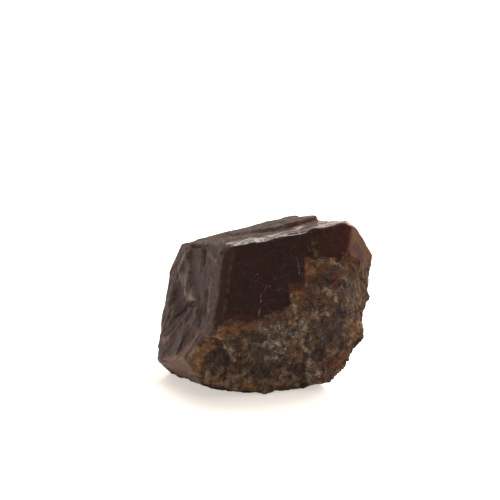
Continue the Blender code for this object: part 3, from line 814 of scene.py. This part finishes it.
class Field:
    # a value or colour over the surface; sums, differences and products of fields become nodes
    def __init__(self, nodes, socket):
        self.nodes, self.socket = nodes, socket

    def __add__(self, other):
        return self.nodes.math("ADD", self, other)

    def __sub__(self, other):
        return self.nodes.math("SUBTRACT", self, other)

    def __rsub__(self, other):
        return self.nodes.math("SUBTRACT", other, self)

    def __mul__(self, other):
        return self.nodes.math("MULTIPLY", self, other)


class Nodes:
    # short calls for adding and joining the nodes of one tree
    def __init__(self, tree):
        self.tree = tree

    def put(self, socket, value):
        value = getattr(value, "socket", value)
        if isinstance(value, bpy.types.NodeSocket):
            self.tree.links.new(value, socket)
        else:
            socket.default_value = value

    def add(self, kind, inputs, output=0, **settings):
        made = self.tree.nodes.new("ShaderNode" + kind)
        for name, value in settings.items():
            setattr(made, name, value)
        for socket, value in inputs.items():
            self.put(made.inputs[socket], value)
        return Field(self, made.outputs[output])

    def math(self, operation, *values, **settings):
        return self.add("Math", dict(enumerate(values)), operation=operation, **settings)

    def vector(self, operation, *values, output=0):
        return self.add("VectorMath", dict(enumerate(values)), output, operation=operation)

    def scale(self, values, factor):
        return self.add("VectorMath", {0: values, "Scale": factor}, operation="SCALE")

    def mix(self, share, first, second):
        return self.add("Mix", {0: share, 6: first, 7: second}, 2, data_type="RGBA")

    def mixValue(self, share, first, second):
        return self.add("Mix", {0: share, 2: first, 3: second}, data_type="FLOAT")

    def moved(self, where, by=(0, 0, 0), turn=(0, 0, 0), size=(1, 1, 1)):
        return self.add("Mapping", {"Vector": where, "Location": by, "Rotation": turn, "Scale": size})

    # 0 to 1 between two values, with a smooth curve
    def ramp(self, value, low, high):
        return self.add("MapRange", {0: value, 1: low, 2: high, 3: 0, 4: 1},
                        interpolation_type="SMOOTHSTEP")

    def mask(self, name):
        return self.add("Attribute", {}, "Fac", attribute_name=name)

    # noise with features of a size in mm
    def noise(self, where, size, detail, roughness=0.55, distortion=0, output="Fac"):
        return self.add("TexNoise", {"Vector": where, "Scale": 1 / (size * mm), "Detail": detail,
                                     "Roughness": roughness, "Distortion": distortion}, output)

    def cells(self, where, size, output, feature):
        return self.add("TexVoronoi", {"Vector": where, "Scale": 1 / (size * mm)}, output, feature=feature)

    # a thin line where a noise crosses its middle value
    def line(self, value, width):
        return self.ramp(self.math("ABSOLUTE", value - 0.5), width, width * 0.2)

    # 1 along a chain of straight runs, 0 further off than the width; all in mm in one plane
    def drawnLine(self, flat, points, width):
        nearest = None
        for (ax, ay), (bx, by) in zip(points[:-1], points[1:]):
            run = (bx - ax, by - ay, 0)
            away = self.vector("SUBTRACT", flat, (ax, ay, 0))
            along = self.vector("DOT_PRODUCT", away, run, output="Value")
            share = self.math("DIVIDE", along, run[0] ** 2 + run[1] ** 2, use_clamp=True)
            off = self.vector("SUBTRACT", away, self.scale(run, share))
            length = self.vector("LENGTH", off, output="Value")
            nearest = length if nearest is None else self.math("MINIMUM", nearest, length)
        return self.ramp(nearest, width, width * 0.3)


def colour(values):
    return (*values, 1)


# colour, roughness and height over the whole stone, from the masks of its mesh
def stoneSurface():
    look = garnetFinish
    tint = {name: colour(value) for name, value in look.items() if isinstance(value, tuple)}
    tree = bpy.data.node_groups.new("stoneSurface", "ShaderNodeTree")
    for name in stoneInputs:
        tree.interface.new_socket(name=name, in_out="INPUT", socket_type="NodeSocketFloat")
    for name, kind in (("Colour", "Color"), ("Roughness", "Float"), ("Height", "Float")):
        tree.interface.new_socket(name=name, in_out="OUTPUT", socket_type="NodeSocket" + kind)
    nodes = Nodes(tree)
    mix, mixValue, ramp, noise, line, moved = (
        nodes.mix, nodes.mixValue, nodes.ramp, nodes.noise, nodes.line, nodes.moved)
    given = tree.nodes.new("NodeGroupInput").outputs
    place = nodes.add("TexCoord", {}, "Object")
    masks = {name: nodes.mask(name) for name in (
        *stains, "broken", "matte", "leftFace", "topFace", "strip", "rightFacet", "atBack", "hollow", "edge",
        "facing")}
    broken, matte, leftFace, topFace = [masks[name] for name in ("broken", "matte", "leftFace", "topFace")]
    broad, medium = noise(place, 3.2, 3), noise(place, 0.9, 3, 0.6)
    speck, fine = noise(place, 0.33, 2, 0.6), noise(place, 0.12, 2, 0.6)

    # colours of the finish laid over a base one after another, each by its share
    def laid(base, *layers):
        for share, name in layers:
            base = mix(share, base, tint[name])
        return base

    # a stain with an edge that the noise breaks up
    def ragged(name, amount):
        shown = ramp(masks[name] + (medium - 0.5) * amount, 0.12, 0.75)
        return shown * ramp(masks[name], 0.02, 0.15)

    # three noises at once as a shift of a place, each up to half the amount either way
    def jitter(size, amount):
        three = noise(place, size, 2, 0.5, output="Color")
        return nodes.scale(nodes.vector("SUBTRACT", three, (0.5, 0.5, 0.5)), amount)

    # growth faces: dark red-brown, hazy in places, with faint scratches along an edge of the crystal
    haze = noise(moved(place, turn=(0.3, math.radians(35), 0.2), size=(1, 1, 0.35)), 0.9, 4, 0.7, 0.8)
    along = moved(place, turn=(0, math.radians(18), 0), size=(0.16, 1, 1))
    scratch = line(noise(along, 0.55, 2, 0.6, 0.6), 0.02) * ramp(haze, 0.47, 0.56)
    clean = laid(tint["clean"], (ramp(broad, 0.35, 0.65), "cleanDark"),
                 (ramp(haze, 0.5, 0.72) * 0.25, "haze"), (scratch * 0.035, "scratch"))
    slanting = moved(place, turn=(0, math.radians(-20), 0), size=(1, 1, 0.45))
    slanting = noise(slanting, 1.3, 4, 0.62, 0.5)
    side = laid(tint["leftDark"], (ramp(slanting, 0.38, 0.56), "leftTint"),
                (ramp(slanting * 0.4 + medium * 0.6, 0.5, 0.64) * 0.8, "leftWarm"))
    clean = laid(mix(leftFace, clean, side), (masks["strip"], "stripTint"),
                 (masks["rightFacet"], "facetTint"), (topFace, "topTint"))
    rear = laid(tint["topRear"], (ramp(medium, 0.4, 0.6), "topRearDark"),
                (ramp(broad, 0.46, 0.58) * 0.5, "brown"))
    clean = mix(topFace * matte, clean, rear)

    # the break: patches of five browns, hairlines, streaks, pits painted dark as their shade, pale flecks
    # that are partly painted glints, the rims of grains, and painted shade and highlight on its relief
    shifted = moved(place, by=(0.013, 0.007, -0.011))
    slant = math.radians(-14)
    mottle = noise(moved(place, turn=(0, slant, 0), size=(1, 1, 0.42)), 1.5, 5, 0.7, 0.6)
    second = noise(shifted, 2.1, 5, 0.68, 0.8)
    third = noise(moved(shifted, size=(1, 1.3, 0.6)), 1.1, 4, 0.7, 0.5)
    upright = noise(moved(place, size=(1, 1, 0.28)), 0.4, 2, 0.5, 0.5)
    grit = noise(moved(shifted, turn=(0, 0.6, 0), size=(1, 1, 0.55)), 0.26, 2, 0.65, 1.2)
    # pale specks of dust, partly painted glints, more of them in the frosted patches
    dustAndGlintSpots = noise(shifted, 0.36, 1, 0.5) + masks["frost"] * 0.14
    bent = nodes.vector("ADD", place, jitter(1.2, 0.9 * mm))
    bent = moved(bent, turn=(0.2, slant, 0), size=(1, 1, 0.6))
    rims = ramp(nodes.cells(bent, 1.05, "Distance", "DISTANCE_TO_EDGE"), 0.075, 0)
    torn = laid(
        tint["umber"],
        (ramp(mottle, 0.36, 0.58), "brown"),
        (ramp(second, 0.5, 0.64), "olive"),
        (ramp(third, 0.56, 0.68) * 0.8, "rust"),
        (ramp(second, 0.47, 0.36) * 0.8, "slate"),
        (line(mottle, 0.026) * ramp(third, 0.44, 0.54) * 0.6, "tan"),
        (line(second, 0.016) * ramp(medium, 0.44, 0.56) * 0.5, "tan"),
        (ramp(upright, 0.6, 0.7) * ramp(broad, 0.42, 0.56) * 0.5, "tan"),
        # painted shade of small pits, as dark specks
        (ramp(noise(shifted, 0.62, 2, 0.55), 0.43, 0.33) * 0.75, "pitShade"),
        (ramp(masks["frost"], 0.15, 0.9) * ramp(grit, 0.5, 0.62) * 0.72, "frostTint"),
        (ramp(dustAndGlintSpots, 0.69, 0.75) * 0.6, "dustAndGlint"),
        (rims * ramp(third, 0.46, 0.58) * 0.6, "tan"),
        # painted shade in the hollows of the break's relief, and a painted highlight on its ridges
        (ramp(masks["hollow"], -0.02, -0.25) * 0.6, "umber"),
        (ramp(masks["hollow"], 0.12, 0.32) * 0.35, "tan"))

    dirt = masks["atBack"] * (ramp(broad * 0.6 + mottle * 0.4, 0.5, 0.58) * 0.75)
    base = mix(nodes.math("MAXIMUM", broken, dirt), clean, torn)
    base = laid(base, *[(ragged(name, layer[0]), name) for name, layer in stains.items() if layer[0]])
    # drawn marks, in the plane of the stains, a little unsteady
    up = nodes.vector("DOT_PRODUCT", place, (0, math.sin(stainLean), math.cos(stainLean)), output="Value")
    across = nodes.add("SeparateXYZ", {"Vector": place}, "X")
    flat = nodes.scale(nodes.add("CombineXYZ", {"X": across, "Y": up}), 1 / mm)
    flat = nodes.vector("ADD", flat, jitter(0.6, 0.45))
    for name, *points, width, strength in [(name, *mark) for name in marks for mark in marks[name]]:
        drawn = nodes.drawnLine(flat, points, width) * ramp(speck, 0.3, 0.55)
        base = laid(base, (drawn * (masks["facing"] * strength), name))
    # worn edges painted lighter: a painted highlight line along every edge whose two sides are not both
    # broken
    base = laid(base, (masks["edge"] * ramp(medium, 0.36, 0.6) * 0.15, "edge"))
    # light and dark grain over every colour, strongest on the break
    worn = nodes.math("MAXIMUM", leftFace, topFace)
    strength = mixValue(broken, mixValue(worn, 0.55, 1.7), 2.5)
    crystals = nodes.add("SeparateColor", {"Color": nodes.cells(bent, 0.62, "Color", "F1")})
    grains = (speck * 0.8 + medium * 0.9 - 0.85) * strength + (crystals - 0.5) * mixValue(broken, 0, 0.75)
    base = nodes.scale(base, nodes.math("MAXIMUM", grains + 1, 0.25))

    roughness = mixValue(worn, given["Smooth Roughness"], given["Worn Roughness"])
    roughness = mixValue(topFace * (1 - matte), roughness, look["roughLedge"])
    roughness = mixValue(matte, roughness, given["Matte Roughness"]) + (medium - 0.5) * 0.3
    faceGrain = mixValue(topFace, mixValue(leftFace, 0.03, 0.5), 0.1)
    height = (speck + fine * 0.4) * mixValue(matte, faceGrain, given["Grain"])
    out = tree.nodes.new("NodeGroupOutput")
    for name, value in (("Colour", base), ("Roughness", roughness), ("Height", height)):
        nodes.put(out.inputs[name], value)
    return tree


# a new material, with its nodes and its shader
def newMaterial(name):
    material = bpy.data.materials.new(name)
    material.use_nodes = True
    return material, Nodes(material.node_tree), material.node_tree.nodes["Principled BSDF"].inputs


# the stone's surface under one gloss: growth faces shine, the matte break hardly does
def stoneMaterial(name, surface, specular):
    look = garnetFinish
    material, nodes, shader = newMaterial(name)
    stoneLook = material.node_tree.nodes.new("ShaderNodeGroup")
    stoneLook.node_tree = surface
    for socket, value in stoneInputs.items():
        stoneLook.inputs[socket].default_value = look[value]
    nodes.put(shader["Base Color"], stoneLook.outputs["Colour"])
    nodes.put(shader["Roughness"], stoneLook.outputs["Roughness"])
    shader["IOR"].default_value = look["ior"]
    shader["Specular IOR Level"].default_value = specular
    bump = {"Strength": look["bumpStrength"], "Distance": look["bumpDepth"] * mm}
    nodes.put(shader["Normal"], nodes.add("Bump", {**bump, "Height": stoneLook.outputs["Height"]}))
    return material


stone = buildCrystal()
surface = stoneSurface()
for name, shine in (("Faces", "faceShine"), ("Break", "breakShine"), ("Sides", "sideShine")):
    stone.data.materials.append(stoneMaterial("garnet" + name, surface, garnetFinish[shine]))
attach(stone, "root")
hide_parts(garnet["node"])
print("crystal dressed")

# Floor, light and camera.
studio = {
    "floorHalf": 3,  # m
    "floorColour": (0.9, 0.865, 0.83),
    "floorGlow": (0.53, 0.495, 0.46),  # added to what the camera sees of the floor
    "skySeen": 1.3,  # brightness where the camera sees the sky
    "skyLow": 0.22,  # brightness of the surroundings as the stone sees them,
    "skyHigh": 5,  # high at the back on the right,
    "skyDark": 0.05,  # and in a dark patch above the front
    "skyTint": (1, 0.93, 0.87),
    "brightWay": (0.5, 0.45, 0.74),
    "darkWay": (0.04, -0.39, 0.92),
    "lights": {  # place and size in m, watts
        "softboxBack": ((0.45, 0.5, 0.6), 0.8, 5),
        "softboxLeft": ((-0.75, -0.3, 0.22), 0.6, 0.8),
        "softboxFront": ((-0.2, -0.9, 0.1), 0.5, 2.2),
    },
    "aim": (0, 0, 0.01),
}
cameraView = {
    "place": (-0.0020425, -0.395285, 0.13245),
    "turn": (74, 0, 0),  # degrees
    "lens": 200,
    "sensor": 36,
    "farthest": 20,  # m
}


# a wide floor as a grid of two parameters, level with the stone's foot
def buildFloor():
    edge = np.linspace(-studio["floorHalf"], studio["floorHalf"], 3)
    u, v = np.meshgrid(edge, edge, indexing="ij")
    points = np.stack([u.ravel(), v.ravel(), np.zeros(u.size)], axis=1)
    mesh = bpy.data.meshes.new("floor")
    mesh.from_pydata(points.tolist(), [], gridQuads(2).tolist())
    material, nodes, shader = newMaterial("whiteSweep")
    shader["Base Color"].default_value = colour(studio["floorColour"])
    shader["Roughness"].default_value = 0.9
    shader["Specular IOR Level"].default_value = 0
    shader["Emission Color"].default_value = colour(studio["floorGlow"])
    nodes.put(shader["Emission Strength"], nodes.add("LightPath", {}, "Is Camera Ray"))
    mesh.materials.append(material)
    newObject("floor", mesh)


def buildLights():
    for name, (place, size, watts) in studio["lights"].items():
        light = bpy.data.lights.new(name, "AREA")
        light.size = size
        light.energy = watts
        holder = newObject(name, light)
        holder.location = place
        holder.rotation_euler = (Vector(studio["aim"]) - Vector(place)).to_track_quat("-Z", "Y").to_euler()


# the surroundings: bright high at the back on the right, dark above the front, plain white where seen
def buildSky():
    sky = bpy.data.worlds.new("studioSky")
    bpy.context.scene.world = sky
    sky.use_nodes = True
    nodes = Nodes(sky.node_tree)
    background = sky.node_tree.nodes["Background"].inputs
    way = nodes.add("TexCoord", {}, "Generated")

    def nearness(direction, low, high):
        return nodes.ramp(nodes.vector("DOT_PRODUCT", way, direction, output="Value"), low, high)

    height = nodes.add("SeparateXYZ", {"Vector": way}, "Z")
    bright = nearness(studio["brightWay"], 0.2, 0.95) * nodes.ramp(height, 0.25, 0.7)
    level = nodes.mixValue(bright, studio["skyLow"], studio["skyHigh"])
    level = nodes.mixValue(nearness(studio["darkWay"], 0.62, 0.92), level, studio["skyDark"])
    seen = nodes.add("LightPath", {}, "Is Camera Ray")
    nodes.put(background["Strength"], nodes.mixValue(seen, level, studio["skySeen"]))
    background["Color"].default_value = colour(studio["skyTint"])


def buildCamera():
    data = bpy.data.cameras.new("camera")
    data.lens = cameraView["lens"]
    data.sensor_width = cameraView["sensor"]
    data.clip_end = cameraView["farthest"]
    camera = newObject("camera", data)
    camera.location = cameraView["place"]
    camera.rotation_euler = [math.radians(angle) for angle in cameraView["turn"]]
    bpy.context.scene.camera = camera


buildFloor()
buildLights()
buildSky()
buildCamera()
bpy.context.scene.view_settings.view_transform = "Standard"
print("studio ready")
